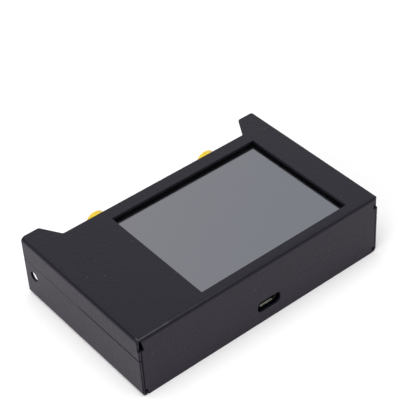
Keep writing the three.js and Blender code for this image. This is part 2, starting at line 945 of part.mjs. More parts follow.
// The moulded insert that closes the back of the shell and holds the tongue
function usbInsert() {
  const back = usbMouth + usbDepth - seatGap;
  const front = back - usbBackWall;
  const baseLength = usbLength - 2 * (usbWall + seatGap);
  const baseHeight = usbThickness - 2 * (usbWall + seatGap);
  const base = rectangle(baseLength, baseHeight, usbRound - usbWall - seatGap, usbX, usbHeight);
  const tongue = rectangle(tongueLength, tongueThickness, tongueThickness / 3, usbX, usbHeight);
  const tongueFront = usbMouth + tongueSetback;
  return join(prismBack(base, front, back, bendSteps), prismBack(tongue, tongueFront, back - seatGap));
}

// Slide switch

function powerSwitchBody() {
  const front = panelInnerFace - fitGap;
  const middle = front - powerBodyDepth / 2;
  const slotLength = knobLength + powerTravel + 2 * fitGap;
  const slotHeight = knobHeight + 2 * fitGap;
  const roomLength = carriageLength + powerTravel + 2 * fitGap;
  const roomDepth = carriageDepth + 2 * fitGap;
  const roomHeight = carriageHeight + 2 * fitGap;
  const roomMiddle = front - powerFaceWall - roomDepth / 2;
  const body = block(powerBodyLength, powerBodyDepth, controlBodyHeight, 0, middle, 0);
  const room = block(roomLength, roomDepth, roomHeight, 0, roomMiddle, 0);
  const slot = block(slotLength, powerFaceWall + overrun, slotHeight, 0, front - powerFaceWall / 2, 0);
  return cut(body, join(room, slot));
}

// The carriage stays in the body, and its knob comes out through the panel
function powerSwitchSlider() {
  const middle = panelInnerFace - powerFaceWall - 2 * fitGap - carriageDepth / 2;
  const carriage = block(carriageLength, carriageDepth, carriageHeight, 0, middle, 0);
  const knobShape = rectangle(knobLength, knobHeight, knobHeight * knobRoundShare);
  return join(carriage, prismBack(knobShape, middle, rearFace + knobReach));
}

// Push buttons

// A domed plunger, with a flange that keeps it behind the panel and a stem that meets the key
function pushButton() {
  const back = buttonFlangeBack;
  const end = rearFace + buttonReach;
  const profile = [
    [0, back - buttonStemLength],
    [buttonStemRadius, back - buttonStemLength],
    [buttonStemRadius, back],
    [buttonFlangeRadius, back],
    [buttonFlangeRadius, back + buttonFlangeThickness],
    [buttonRadius, back + buttonFlangeThickness],
    [buttonRadius, end - buttonDome],
    [buttonRadius - buttonDome, end],
    [0, end],
  ];
  return turnedBack(profile, smallTurnSteps);
}

// The key behind a button: its hole lets the stem travel its full stroke
function keySwitch() {
  const front = buttonFlangeBack - buttonTravel - fitGap;
  const holeEnd = front - buttonStemLength;
  const body = block(keyBodyLength, keyBodyDepth, controlBodyHeight, 0, front - keyBodyDepth / 2, 0);
  const hole = turnedBack([
    [0, holeEnd],
    [buttonStemRadius + fitGap, holeEnd],
    [buttonStemRadius + fitGap, front + overrun],
    [0, front + overrun],
  ], smallTurnSteps);
  return cut(body, hole);
}

// A square status light on the board, whose round lens reaches through the panel
function statusLight() {
  const front = panelInnerFace - fitGap;
  const bottom = mainBoardTop + seatGap - controlHeight;
  const top = lightBodySize / 2;
  const height = top - bottom;
  const middle = (top + bottom) / 2;
  const body = block(lightBodySize, lightBodySize, height, 0, front - lightBodySize / 2, middle);
  const lens = [
    [0, front - lightRadius],
    [lightRadius, front - lightRadius],
    [lightRadius, rearFace - seatGap],
    [lightRadius / 2, rearFace + seatGap],
    [0, rearFace + seatGap],
  ];
  return join(body, turnedBack(lens, smallTurnSteps));
}

// Battery

// A flat pouch cell with soft edges
function battery() {
  const length = batteryLength - 2 * batteryEdge;
  const width = batteryWidth - 2 * batteryEdge;
  const pouch = new THREE.ExtrudeGeometry(rectangle(length, width, batteryRound), {
    depth: batteryThickness - 2 * batteryEdge,
    bevelSize: batteryEdge,
    bevelThickness: batteryEdge,
    bevelSegments: 2,
    curveSegments: roundSteps,
  });
  return pouch.translate(batteryX, batteryY, batteryLevel + batteryEdge);
}

function plugPlace() {
  const x = leftFace + plugFromLeft + plugLength / 2;
  return new THREE.Vector3(x, batteryY, mainBoardLevel - seatGap - plugHeight / 2);
}

function batteryPlug() {
  const { x, y, z } = plugPlace();
  const keyX = x - plugLength / 2;
  const key = block(plugLength / 2, plugWidth / 3, plugHeight / 3, keyX, y, z - plugHeight / 2);
  return cut(block(plugLength, plugWidth, plugHeight, x, y, z), key);
}

// One lead, from the end of the pouch to the plug; side is -1 or 1
function batteryLead(side) {
  const y = batteryY + (side * leadPitch) / 2;
  const z = batteryLevel + batteryThickness / 2;
  const plug = plugPlace();
  const start = new THREE.Vector3(leftFace + batteryFromLeft - fitGap, y, z);
  const end = new THREE.Vector3(plug.x + plugLength / 2 + fitGap, y, plug.z);
  const leave = start.clone().setX(start.x - leadStraight);
  const arrive = end.clone().setX(end.x + leadStraight);
  const route = new THREE.CubicBezierCurve3(start, leave, arrive, end);
  return new THREE.ExtrudeGeometry(circle(leadRadius, 0, 0, THREE.Shape), {
    steps: leadSteps,
    curveSegments: leadSteps,
    bevelEnabled: false,
    extrudePath: route,
  });
}

// Chips, shields and the header between the boards

// A folded tin lid over the radio circuit behind a port
function radioShield() {
  const bottom = mainBoardTop + seatGap;
  const inner = block(
    shieldLength - 2 * shieldWall,
    shieldWidth - 2 * shieldWall,
    2 * (shieldHeight - shieldWall),
    0,
    0,
    bottom,
  );
  return cut(block(shieldLength, shieldWidth, shieldHeight, 0, 0, bottom + shieldHeight / 2), inner);
}

function processor() {
  const bottom = mainBoardTop + seatGap;
  return prismUp(rectangle(chipSize, chipSize, chipRound), bottom, bottom + chipHeight, 1);
}

// The shrouded header on the main board
function boardHeader() {
  const bottom = mainBoardTop + seatGap;
  const middle = bottom + headerHeight / 2;
  const roomWidth = headerWidth - 2 * headerWall;
  const roomLength = headerLength - 2 * headerWall;
  const room = block(roomWidth, roomLength, headerHeight, 0, 0, middle + headerWall);
  return cut(block(headerWidth, headerLength, headerHeight, 0, 0, middle), room);
}

// Its mate on the display board, whose tongue stands inside the shroud
function boardSocket() {
  const top = displayBoardLevel - seatGap;
  const flangeBottom = mainBoardTop + seatGap + headerHeight + fitGap;
  const tongueBottom = mainBoardTop + seatGap + headerWall + fitGap;
  const inset = headerWall + fitGap;
  const flange = block(headerWidth, headerLength, top - flangeBottom, 0, 0, (top + flangeBottom) / 2);
  const tongueWidth = headerWidth - 2 * inset;
  const tongueLongSide = headerLength - 2 * inset;
  const tongueHeight = flangeBottom + seatGap - tongueBottom;
  const tongueMiddle = tongueBottom + tongueHeight / 2;
  return join(flange, block(tongueWidth, tongueLongSide, tongueHeight, 0, 0, tongueMiddle));
}

// Assembly

const analyzer = new THREE.Group();

function add(name, geometry, material, x = 0, y = 0, z = 0) {
  const mesh = new THREE.Mesh(geometry, material);
  mesh.name = name;
  mesh.position.set(x, y, z);
  analyzer.add(mesh);
}

add('top_shell', topShell(), powderCoat());
add('bottom_shell', bottomShell(), powderCoat());
add('port_panel', portPanel(), powderCoat());

add('touch_glass', touchGlass(), screenGlass());
add('display_panel', displayPanel(), darkGlass());
add('backlight', backlightPlate(), whitePlastic());
add('display_tray', displayTray(), brightSteel());
add('flat_cable', flatCable(), amberFilm());
add('cable_clamp', cableClamp(), whitePlastic());

add('display_board', displayBoard(), boardLaminate());
add('main_board', mainBoard(), boardLaminate());

columnPlaces.forEach(([x, y], index) => {
  const number = index + 1;
  add(`top_post_${number}`, topPost(), brightSteel(), x, y);
  add(`upper_spacer_${number}`, upperSpacer(), brightSteel(), x, y);
  add(`lower_spacer_${number}`, lowerSpacer(), brightSteel(), x, y);
  add(`case_screw_${number}`, caseScrew(), brightSteel(), x, y);
});

const shieldY = rearFace - shieldFromRear - shieldWidth / 2;
portPlaces.forEach((x, index) => {
  const number = index + 1;
  add(`port_${number}`, antennaPort(), goldPlate(), x, 0, portHeight);
  add(`port_insulator_${number}`, portInsulator(), whitePlastic(), x, 0, portHeight);
  add(`port_contact_${number}`, portContact(), goldPlate(), x, 0, portHeight);
  add(`port_washer_${number}`, portWasher(), goldPlate(), x, 0, portHeight);
  add(`port_nut_${number}`, portNut(), goldPlate(), x, 0, portHeight);
  add(`dust_cap_${number}`, dustCap(), yellowPlastic(), x, 0, portHeight);
  add(`radio_shield_${number}`, radioShield(), brightSteel(), x, shieldY);
});

add('usb_shell', usbShell(), brightSteel());
add('usb_insert', usbInsert(), blackPlastic());

const sliderX = powerX - powerTravel / 2;
add('power_switch_body', powerSwitchBody(), brightSteel(), powerX, 0, controlHeight);
add('power_switch_slider', powerSwitchSlider(), blackPlastic(), sliderX, 0, controlHeight);

buttonPlaces.forEach((x, index) => {
  const side = ['left', 'enter', 'right'][index];
  add(`button_${side}`, pushButton(), blackPlastic(), x, 0, controlHeight);
  add(`key_switch_${side}`, keySwitch(), brightSteel(), x, 0, controlHeight);
});

lightPlaces.forEach((x, index) => {
  add(`status_light_${index + 1}`, statusLight(), clearPlastic(), x, 0, controlHeight);
});

add('battery', battery(), silverPouch());
add('battery_plug', batteryPlug(), whitePlastic());
add('lead_red', batteryLead(-1), redSleeve());
add('lead_black', batteryLead(1), blackPlastic());

add('processor', processor(), blackPlastic(), 0, frontFace + chipFromFront);
add('board_header', boardHeader(), blackPlastic(), headerX);
add('board_socket', boardSocket(), blackPlastic(), headerX);

export default analyzer;
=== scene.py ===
import math

import bmesh
import bpy
from mathutils import Matrix, Vector


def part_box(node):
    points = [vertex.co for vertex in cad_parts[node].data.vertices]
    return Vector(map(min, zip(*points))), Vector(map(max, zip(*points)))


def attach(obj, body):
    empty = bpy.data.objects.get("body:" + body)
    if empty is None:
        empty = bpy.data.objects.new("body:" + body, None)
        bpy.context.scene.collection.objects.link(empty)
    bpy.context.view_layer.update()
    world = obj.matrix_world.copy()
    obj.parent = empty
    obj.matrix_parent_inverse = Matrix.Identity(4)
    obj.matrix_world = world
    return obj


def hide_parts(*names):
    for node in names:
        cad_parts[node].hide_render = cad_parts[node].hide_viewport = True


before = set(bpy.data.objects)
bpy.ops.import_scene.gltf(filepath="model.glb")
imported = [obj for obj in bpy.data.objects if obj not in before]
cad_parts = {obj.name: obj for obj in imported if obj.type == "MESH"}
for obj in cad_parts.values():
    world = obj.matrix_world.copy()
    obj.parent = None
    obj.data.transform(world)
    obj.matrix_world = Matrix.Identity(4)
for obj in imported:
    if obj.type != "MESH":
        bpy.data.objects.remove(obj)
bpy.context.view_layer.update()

# Bottom shell. A tray of 1 mm steel sheet, folded up at both ends, with four tabs welded
# inside its walls and an ear left standing at each rear corner.
# It is blasted and powder coated in fine-grained black, like the other two case pieces.

WELD_REACH = 1e-6
FLAT_ANGLE = math.radians(1.5)
EDGE_ANGLE = math.radians(40)
EDGE_STEPS = 2
COATED_EDGE = 0.00018
ROUNDED_EDGE = 0.0001
BROKEN_EDGE = 0.00008
SMALL_EDGE = 0.00006
TURNED_EDGE = 0.00005
FINE_EDGE = 0.00004
HAIR_EDGE = 0.00003
FACE_WEIGHT = 90

CLOUD_REACH = (0.3, 0.7)
MIX_FACTOR = 0
MIX_COLORS = (6, 7)
MIX_RESULT = 2

COAT_BLACK = (0.0028, 0.0030, 0.0075)
COAT_GREY = (0.0053, 0.0056, 0.0110)
COAT_REACH = (0.35, 0.68)
COAT_GLINT = (1.0, 0.95, 1.0, 1)
COAT_SATIN = 0.4
COAT_SATIN_SPAN = (0.34, 0.46)
COAT_SHINE = 0.28
# Shine in the middle of a bend, lowered there as painted shade.
PAINTED_BEND_SHADE = 0.14
COAT_GRAIN = 0.00022
COAT_PEEL = 0.0011
COAT_MOTTLE = 0.0022
COAT_RELIEF = 0.00005
GRAIN_SHARE = 0.4
MOTTLE_SHARE = 1.3

CREASE = 0.74
CREASE_BLUR = 0.04
CREASE_LEAN = 0.92
FRONT_CREASE = 0.13
SIDE_CREASE = -0.05
BEND_MIDDLE = 0.8
BEND_END = 0.98

DUST_PALE = (0.060, 0.060, 0.066)
DUST_SPACING = 0.0038
DUST_SIZE = 0.075
DUST_RARITY = 0.45
SPECK_CORE = 0.6


def new_finish(name, color, roughness, metallic=0.0):
    """A finish whose plain values stand on the shader's own sockets."""
    finish = bpy.data.materials.new(name)
    finish.use_nodes = True
    finish.diffuse_color = (*color, 1)
    shader = finish.node_tree.nodes["Principled BSDF"]
    shader.inputs["Base Color"].default_value = (*color, 1)
    shader.inputs["Roughness"].default_value = roughness
    shader.inputs["Metallic"].default_value = metallic
    return finish


def shader_of(finish):
    return finish.node_tree.nodes["Principled BSDF"]


def add_node(finish, kind, **inputs):
    """A new node of that kind in a finish or a room, with its inputs set or linked by name."""
    node = finish.node_tree.nodes.new(kind)
    for name, value in inputs.items():
        socket = node.inputs[name.replace("_", " ")]
        if isinstance(value, bpy.types.NodeSocket):
            finish.node_tree.links.new(value, socket)
        else:
            socket.default_value = value
    return node


def on_piece(finish, squeeze=(1, 1, 1)):
    """The piece's own coordinates, in metres, squeezed along its axes."""
    place = add_node(finish, "ShaderNodeTexCoord")
    mapping = add_node(finish, "ShaderNodeMapping", Vector=place.outputs["Object"])
    mapping.inputs["Scale"].default_value = squeeze
    return mapping.outputs["Vector"]


def grain(finish, size, squeeze=(1, 1, 1), detail=2.0):
    """A cloudy pattern whose blobs are about size metres across."""
    noise = add_node(finish, "ShaderNodeTexNoise", Vector=on_piece(finish, squeeze))
    noise.inputs["Scale"].default_value = 1 / size
    noise.inputs["Detail"].default_value = detail
    return noise.outputs["Fac"]


def between(finish, factor, low, high, start=CLOUD_REACH[0], end=CLOUD_REACH[1]):
    """A number that goes from low to high as factor goes from start to end."""
    span = add_node(finish, "ShaderNodeMapRange", Value=factor)
    for name, value in (("From Min", start), ("From Max", end), ("To Min", low), ("To Max", high)):
        span.inputs[name].default_value = value
    return span.outputs["Result"]


def tint(finish, factor, *stops):
    """A colour ramp; each stop is (place, colour)."""
    ramp = add_node(finish, "ShaderNodeValToRGB", Fac=factor)
    elements = ramp.color_ramp.elements
    while len(elements) < len(stops):
        elements.new(0.5)
    for element, (place, color) in zip(elements, stops):
        element.position = place
        element.color = (*color, 1)
    return ramp.outputs["Color"]


def blend_color(finish, factor, first, second):
    """First where factor is 0 and second where it is 1."""
    mix = add_node(finish, "ShaderNodeMix")
    mix.data_type = "RGBA"
    links = finish.node_tree.links
    links.new(factor, mix.inputs[MIX_FACTOR])
    for index, value in zip(MIX_COLORS, (first, second)):
        if isinstance(value, bpy.types.NodeSocket):
            links.new(value, mix.inputs[index])
        else:
            mix.inputs[index].default_value = (*value, 1)
    return mix.outputs[MIX_RESULT]


def calculate(finish, operation, first, second):
    """Two numbers or sockets, combined."""
    math_node = add_node(finish, "ShaderNodeMath")
    math_node.operation = operation
    for socket, value in zip(math_node.inputs, (first, second)):
        if isinstance(value, bpy.types.NodeSocket):
            finish.node_tree.links.new(value, socket)
        else:
            socket.default_value = value
    return math_node.outputs[0]


def use(finish, socket, name):
    """Feeds one of the shader's inputs."""
    finish.node_tree.links.new(socket, shader_of(finish).inputs[name])


def clouded(finish, size, colors, roughness, reach=CLOUD_REACH, **pattern):
    """Lets one cloudy pattern set both colour and roughness, and returns the pattern."""
    cloud = grain(finish, size, **pattern)
    use(finish, tint(finish, cloud, *zip(reach, colors)), "Base Color")
    use(finish, between(finish, cloud, *roughness), "Roughness")
    return cloud


def emboss(finish, height, depth, facing=None):
    """Raises the surface by depth metres where height is 1."""
    relief = add_node(finish, "ShaderNodeBump", Height=height)
    relief.inputs["Distance"].default_value = depth
    if facing is not None:
        finish.node_tree.links.new(facing, relief.inputs["Normal"])
    use(finish, relief.outputs["Normal"], "Normal")


def specks(finish, spacing, size, rarity):
    """1 inside sparse round specks and 0 elsewhere."""
    cells = add_node(finish, "ShaderNodeTexVoronoi", Vector=on_piece(finish))
    cells.inputs["Scale"].default_value = 1 / spacing
    near = between(finish, cells.outputs["Distance"], 1, 0, size * SPECK_CORE, size)
    chosen = calculate(finish, "GREATER_THAN", cells.outputs["Color"], rarity)
    return calculate(finish, "MULTIPLY", near, chosen)


def set_bends(finish):
    """A facing whose bends begin at a crease beside the plate, and a mask, 1 in the middle of a
    bend, for painted shade.
    """
    surface = add_node(finish, "ShaderNodeNewGeometry")
    axes = add_node(finish, "ShaderNodeSeparateXYZ", Vector=surface.outputs["Normal"])
    sizes = [calculate(finish, "ABSOLUTE", axes.outputs[axis], 0.0) for axis in "XYZ"]
    rise = sizes[2]
    for size, shift in ((sizes[1], FRONT_CREASE), (sizes[0], SIDE_CREASE)):
        rise = calculate(finish, "ADD", rise, calculate(finish, "MULTIPLY", size, shift))
    side = between(finish, rise, 1, 0, CREASE, CREASE + CREASE_BLUR)
    facing = add_node(
        finish,
        "ShaderNodeCombineXYZ",
        X=calculate(finish, "MULTIPLY", axes.outputs["X"], side),
        Y=calculate(finish, "MULTIPLY", axes.outputs["Y"], side),
        Z=calculate(finish, "MULTIPLY", axes.outputs["Z"], CREASE_LEAN),
    )
    level = add_node(finish, "ShaderNodeVectorMath", Vector=facing.outputs["Vector"])
    level.operation = "NORMALIZE"
    flat = calculate(finish, "MAXIMUM", calculate(finish, "MAXIMUM", sizes[0], sizes[1]), sizes[2])
    middle = between(finish, flat, 1, 0, BEND_MIDDLE, BEND_END)
    turned = calculate(finish, "MULTIPLY", middle, side)
    return level.outputs["Vector"], turned


def powder_coat(name, highlight=None):
    """Fine-grained black coat; highlight gives the mask and colour of a painted highlight."""
    finish = new_finish(name, COAT_BLACK, COAT_SATIN)
    facing, turned = set_bends(finish)
    # Lower shine in the middle of each bend: painted shade that darkens the bends.
    use(finish, between(finish, turned, COAT_SHINE, PAINTED_BEND_SHADE, 0, 1), "Specular IOR Level")
    shader_of(finish).inputs["Specular Tint"].default_value = COAT_GLINT
    fine = grain(finish, COAT_GRAIN)
    peel = grain(finish, COAT_PEEL)
    coat = tint(finish, fine, *zip(COAT_REACH, (COAT_BLACK, COAT_GREY)))
    dust = specks(finish, DUST_SPACING, DUST_SIZE, DUST_RARITY)
    color = blend_color(finish, dust, coat, DUST_PALE)
    # Paints a pale highlight into the coat's colour where the mask is 1.
    if highlight:
        highlight_mask, highlight_color = highlight
        color = blend_color(finish, highlight_mask(finish), color, highlight_color)
    use(finish, color, "Base Color")
    use(finish, between(finish, fine, *COAT_SATIN_SPAN), "Roughness")
    relief = calculate(finish, "ADD", calculate(finish, "MULTIPLY", fine, GRAIN_SHARE), peel)
    mottle = calculate(finish, "MULTIPLY", grain(finish, COAT_MOTTLE), MOTTLE_SHARE)
    emboss(finish, calculate(finish, "ADD", relief, mottle), COAT_RELIEF, facing)
    return finish


def smooth_shading():
    """Shades faces smooth and keeps edges sharp where they turn more than EDGE_ANGLE."""
    tree = bpy.data.node_groups.new("smooth_shading", "GeometryNodeTree")
    tree.interface.new_socket("Geometry", in_out="INPUT", socket_type="NodeSocketGeometry")
    tree.interface.new_socket("Geometry", in_out="OUTPUT", socket_type="NodeSocketGeometry")
    start = tree.nodes.new("NodeGroupInput")
    bare = tree.nodes.new("GeometryNodeRemoveAttribute")
    bare.inputs["Name"].default_value = "custom_normal"
    angle = tree.nodes.new("GeometryNodeInputMeshEdgeAngle")
    gentle = tree.nodes.new("FunctionNodeCompare")
    gentle.operation = "LESS_EQUAL"
    gentle.inputs["B"].default_value = EDGE_ANGLE
    edges = tree.nodes.new("GeometryNodeSetShadeSmooth")
    edges.domain = "EDGE"
    faces = tree.nodes.new("GeometryNodeSetShadeSmooth")
    end = tree.nodes.new("NodeGroupOutput")
    for source, target in (
        (start.outputs[0], bare.inputs["Geometry"]),
        (bare.outputs["Geometry"], edges.inputs["Geometry"]),
        (angle.outputs["Unsigned Angle"], gentle.inputs["A"]),
        (gentle.outputs["Result"], edges.inputs["Shade Smooth"]),
        (edges.outputs["Geometry"], faces.inputs["Geometry"]),
        (faces.outputs["Geometry"], end.inputs[0]),
    ):
        tree.links.new(source, target)
    return tree


shading = smooth_shading()


def refine(name, finish, broken_edge=BROKEN_EDGE):
    """Gives a piece its finish, breaks its sharp edges and shades its bends smooth."""
    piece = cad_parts[name]
    piece.data.materials.clear()
    piece.data.materials.append(finish)
    weld = piece.modifiers.new("joined", "WELD")
    weld.merge_threshold = WELD_REACH
    flats = piece.modifiers.new("flats", "DECIMATE")
    flats.decimate_type = "DISSOLVE"
    flats.angle_limit = FLAT_ANGLE
    shade = piece.modifiers.new("shading", "NODES")
    shade.node_group = shading
    if broken_edge:
        bevel = piece.modifiers.new("broken_edges", "BEVEL")
        bevel.width = broken_edge
        bevel.segments = EDGE_STEPS
        bevel.limit_method = "ANGLE"
        bevel.angle_limit = EDGE_ANGLE
        bevel.use_clamp_overlap = False
        bevel.loop_slide = False
    level = piece.modifiers.new("level_faces", "WEIGHTED_NORMAL")
    level.weight = FACE_WEIGHT
    level.keep_sharp = True


coat = powder_coat("powder_coat")
refine("bottom_shell", coat, COATED_EDGE)

# Case screws and lower spacers. Four black flat-headed screws come up through countersinks in
# the bottom plate into bright six-sided spacers, whose studs pass through the main board.

STEEL_GREY = (0.55, 0.55, 0.57)
STEEL_PALE = (0.66, 0.66, 0.68)
SCREW_BLACK = (0.018, 0.018, 0.020)
SCREW_WORN = (0.07, 0.068, 0.066)

steel = new_finish("drawn_steel", STEEL_GREY, roughness=0.28, metallic=1.0)
streaks = clouded(
    steel,
    size=0.0003,
    squeeze=(1, 1, 0.08),
    colors=(STEEL_GREY, STEEL_PALE),
    roughness=(0.2, 0.38),
)
emboss(steel, streaks, depth=0.000004)

screw_black = new_finish("black_oxide", SCREW_BLACK, roughness=0.4, metallic=0.7)
clouded(
    screw_black,
    size=0.0006,
    colors=(SCREW_BLACK, SCREW_WORN),
    reach=(0.45, 0.75),
    roughness=(0.3, 0.5),
)

for number in range(1, 5):
    refine(f"case_screw_{number}", screw_black, FINE_EDGE)
    refine(f"lower_spacer_{number}", steel, TURNED_EDGE)

# Battery. A flat lithium pouch in dull foil lies on the bottom plate, and its red and black
# leads rise to a white plug under the main board.

FOIL_GREY = (0.36, 0.37, 0.38)
FOIL_PALE = (0.52, 0.53, 0.54)
RED = (0.42, 0.015, 0.010)
RED_DARK = (0.30, 0.010, 0.008)
PLASTIC_BLACK = (0.010, 0.010, 0.011)
PLASTIC_CHARCOAL = (0.020, 0.020, 0.022)
PLASTIC_WHITE = (0.74, 0.72, 0.67)
PLASTIC_CREAM = (0.68, 0.66, 0.60)
MOULD_MOTTLE = 0.0012
MOULD_GRAIN = 0.0002
MOULD_RELIEF = 0.000008
MOULD_SMOOTHER = 0.06
MOULD_ROUGHER = 0.08


def moulded(name, dark, light, roughness):
    """Moulded plastic or rubber, with a faint mottle and a satin surface."""
    finish = new_finish(name, dark, roughness)
    span = (roughness - MOULD_SMOOTHER, roughness + MOULD_ROUGHER)
    clouded(finish, MOULD_MOTTLE, (dark, light), span)
    emboss(finish, grain(finish, MOULD_GRAIN), MOULD_RELIEF)
    return finish


foil = new_finish("pouch_foil", FOIL_GREY, roughness=0.35, metallic=0.8)
crinkle = clouded(
    foil,
    size=0.006,
    detail=4.0,
    colors=(FOIL_GREY, FOIL_PALE),
    reach=(0.35, 0.65),
    roughness=(0.28, 0.5),
)
emboss(foil, crinkle, depth=0.0002)

red_sleeve = moulded("red_sleeve", RED_DARK, RED, roughness=0.45)
black_plastic = moulded("black_plastic", PLASTIC_BLACK, PLASTIC_CHARCOAL, roughness=0.42)
white_plastic = moulded("white_plastic", PLASTIC_CREAM, PLASTIC_WHITE, roughness=0.45)

refine("battery", foil, broken_edge=0)
refine("battery_plug", white_plastic)
refine("lead_red", red_sleeve, broken_edge=0)
refine("lead_black", black_plastic, broken_edge=0)

# Main board. Green-black laminate with copper tracks under its lacquer carries a processor,
# two tinned radio shields and the header that joins it to the display board.

LACQUER_DARK = (0.006, 0.020, 0.012)
LACQUER_TRACK = (0.012, 0.040, 0.024)
TIN_PALE = (0.62, 0.62, 0.61)
TIN_DULL = (0.48, 0.48, 0.47)
TRACK_SPACING = 0.0018
TRACK_WIDTH = 0.06
TRACK_EDGES = (0.2, 0.8)
TRACK_RELIEF = 0.00003
LACQUER_CLOUD = 0.003
LACQUER_GLOSS = 0.3
LACQUER_GLOSS_SPAN = (0.25, 0.4)


def board_laminate():
    finish = new_finish("board_laminate", LACQUER_DARK, LACQUER_GLOSS)
    tracks = add_node(finish, "ShaderNodeTexBrick", Vector=on_piece(finish))
    tracks.inputs["Scale"].default_value = 1 / TRACK_SPACING
    tracks.inputs["Mortar Size"].default_value = TRACK_WIDTH
    lines = between(finish, tracks.outputs["Fac"], 0, 1, *TRACK_EDGES)
    use(finish, tint(finish, lines, (0.0, LACQUER_DARK), (1.0, LACQUER_TRACK)), "Base Color")
    cloud = grain(finish, LACQUER_CLOUD)
    use(finish, between(finish, cloud, *LACQUER_GLOSS_SPAN), "Roughness")
    emboss(finish, lines, TRACK_RELIEF)
    return finish


laminate = board_laminate()
tin = new_finish("tinned_sheet", TIN_PALE, roughness=0.32, metallic=1.0)
clouded(
    tin,
    size=0.002,
    detail=3.0,
    colors=(TIN_DULL, TIN_PALE),
    reach=(0.35, 0.65),
    roughness=(0.25, 0.45),
)

refine("main_board", laminate)
refine("radio_shield_1", tin)
refine("radio_shield_2", tin)
refine("processor", black_plastic)
refine("board_header", black_plastic)

# Charging socket. A seamless rolled steel shell hangs under the main board's front edge, with a
# ramp pressed into the floor of its mouth to guide the plug. The shell's steel is painted dark as
# shade inside the mouth, and the ramp is the same steel painted pale as a highlight. Its moulded
# tongue holds a steel plate between two rows of gold contacts.

# Shell steel painted dark as shade, and the same steel painted pale on the ramp as a highlight.
SHADED_STEEL_DARK = (0.07, 0.07, 0.065)
SHADED_STEEL_GREY = (0.11, 0.11, 0.10)
LIT_RAMP_GREY = (0.25, 0.26, 0.22)
LIT_RAMP_PALE = (0.31, 0.32, 0.27)
CONTACT_GOLD = (0.80, 0.55, 0.20)
CONTACT_PALE = (0.86, 0.64, 0.30)
CONTACT_COUNT = 12
CONTACT_PITCH = 0.0005
CONTACT_WIDTH = 0.00028
CONTACT_LENGTH = 0.0036
CONTACT_PROUD = 0.00004
CONTACT_SETBACK = 0.0005
TONGUE_HEIGHT = 0.0007
TONGUE_HALF_LENGTH = 0.0033
PLATE_PROUD = 0.00012
PLATE_THICKNESS = 0.00022
PLATE_DEPTH = 0.0009
RAMP_LENGTH = 0.0052
RAMP_PROUD = 0.00005
RAMP_DEPTH = 0.00035
RAMP_RISE = 0.00044


def rolled_steel(name, dark, light):
    finish = new_finish(name, dark, roughness=0.38, metallic=1.0)
    clouded(finish, size=0.0009, colors=(dark, light), roughness=(0.32, 0.45))
    return finish


def add_box(mesh, low, high):
    """A closed box between two corners."""
    size = Vector(high) - Vector(low)
    middle = (Vector(high) + Vector(low)) / 2
    place = Matrix.Translation(middle) @ Matrix.Diagonal((*size, 1))
    bmesh.ops.create_cube(mesh, size=1, matrix=place)


def skin(mesh, rings):
    """Faces from each ring to the next, and a flat face over the first and the last."""
    for near, far in zip(rings, rings[1:]):
        for index in range(len(near)):
            after = (index + 1) % len(near)
            mesh.faces.new((near[index], near[after], far[after], far[index]))
    mesh.faces.new(rings[0])
    mesh.faces.new(rings[-1])


def new_piece(name, mesh, finish, body, smooth=False):
    """A piece from mesh code that rides on a body and takes a slot's finish."""
    data = bpy.data.meshes.new(name)
    bmesh.ops.recalc_face_normals(mesh, faces=mesh.faces)
    mesh.to_mesh(data)
    mesh.free()
    if smooth:
        data.shade_smooth()
        data.set_sharp_from_angle(angle=EDGE_ANGLE)
    data.materials.append(finish)
    piece = bpy.data.objects.new(name, data)
    bpy.context.scene.collection.objects.link(piece)
    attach(piece, body)
    return piece


polished = new_finish("polished_steel", STEEL_PALE, roughness=0.18, metallic=1.0)
clouded(polished, size=0.0012, colors=(STEEL_GREY, STEEL_PALE), roughness=(0.14, 0.26))
gold = new_finish("gold_plate", CONTACT_GOLD, roughness=0.22, metallic=1.0)
clouded(gold, size=0.0008, colors=(CONTACT_GOLD, CONTACT_PALE), roughness=(0.16, 0.3))

# The shell's steel is painted dark: painted shade inside the socket's mouth.
refine("usb_shell", rolled_steel("rolled_steel", SHADED_STEEL_DARK, SHADED_STEEL_GREY), SMALL_EDGE)
refine("usb_insert", black_plastic, FINE_EDGE)

insert_low, insert_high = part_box("usb_insert")
tongue_x = (insert_low.x + insert_high.x) / 2
tongue_z = (insert_low.z + insert_high.z) / 2
tongue_front = insert_low.y

contacts = bmesh.new()
for index in range(CONTACT_COUNT):
    x = tongue_x + (index - (CONTACT_COUNT - 1) / 2) * CONTACT_PITCH
    for side in (-1, 1):
        face = tongue_z + side * TONGUE_HEIGHT / 2
        levels = sorted((face, face + side * CONTACT_PROUD))
        start = tongue_front + CONTACT_SETBACK
        add_box(
            contacts,
            (x - CONTACT_WIDTH / 2, start, levels[0]),
            (x + CONTACT_WIDTH / 2, start + CONTACT_LENGTH, levels[1]),
        )
new_piece("usb_contacts", contacts, gold, "case")

plate = bmesh.new()
plate_reach = TONGUE_HALF_LENGTH + PLATE_PROUD
add_box(
    plate,
    (tongue_x - plate_reach, tongue_front - PLATE_PROUD, tongue_z - PLATE_THICKNESS / 2),
    (tongue_x + plate_reach, tongue_front + PLATE_DEPTH, tongue_z + PLATE_THICKNESS / 2),
)
new_piece("usb_middle_plate", plate, polished, "case")

shell_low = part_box("usb_shell")[0]
ramp_profile = (
    (shell_low.y - RAMP_PROUD, shell_low.z + RAMP_PROUD),
    (shell_low.y + RAMP_DEPTH, shell_low.z + RAMP_RISE),
    (shell_low.y + RAMP_DEPTH, shell_low.z + RAMP_PROUD),
)
ramp = bmesh.new()
sections = []
for side in (-1, 1):
    x = tongue_x + side * RAMP_LENGTH / 2
    sections.append([ramp.verts.new((x, y, z)) for y, z in ramp_profile])
skin(ramp, sections)
# The same steel painted pale: a painted highlight on the ramp.
lit_ramp_finish = rolled_steel("lit_ramp_steel", LIT_RAMP_GREY, LIT_RAMP_PALE)
new_piece("usb_ramp", ramp, lit_ramp_finish, "case")

